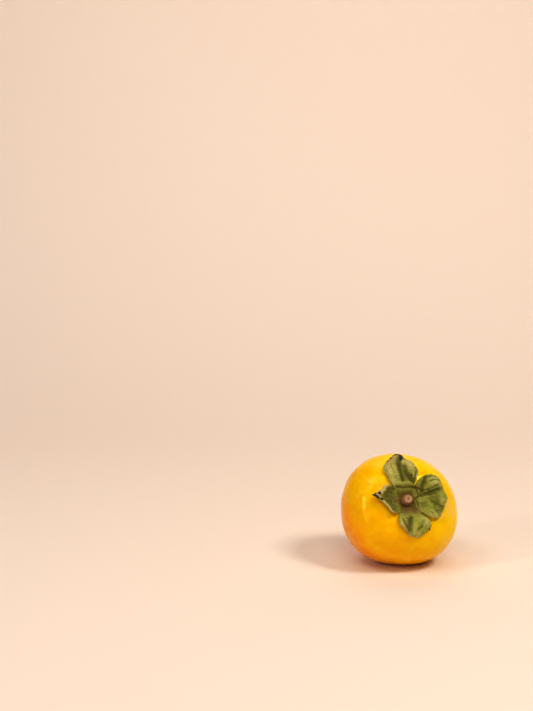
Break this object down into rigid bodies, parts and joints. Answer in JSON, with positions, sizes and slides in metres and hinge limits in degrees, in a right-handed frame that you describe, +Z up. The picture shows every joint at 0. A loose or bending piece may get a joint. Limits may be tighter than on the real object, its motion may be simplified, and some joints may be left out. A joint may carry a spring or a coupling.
{
  "type": "persimmon",
  "caption": "Squat ripe persimmon leaning on its side, with a leafy calyx, the stub of its stem and a dry blossom point.",
  "frame": {"origin": "on the surface that the fruit rests on, at the flat spot of its skin, straight below the middle of its body", "axes": "+Z up from the resting surface; the calyx faces -Y and up, turned a little towards +X; -Z is the outward normal of the flat spot"},
  "size_m": [0.0787, 0.0709, 0.0765],
  "materials": {
    "skin": "smooth waxy skin, yellow-orange, with a faint bloom and a soft gloss",
    "calyx_leaf": "leathery olive-green leaf with paler dry margins and dark tips, matt",
    "stem_wood": "rough brown bark with a tan cut face",
    "dry_tip": "dry, almost black, matt"
  },
  "bodies": {
    "root": {"fruit": "skin", "calyx": "calyx_leaf", "stem": "stem_wood", "blossom_tip": "dry_tip"}
  },
  "joints": []
}
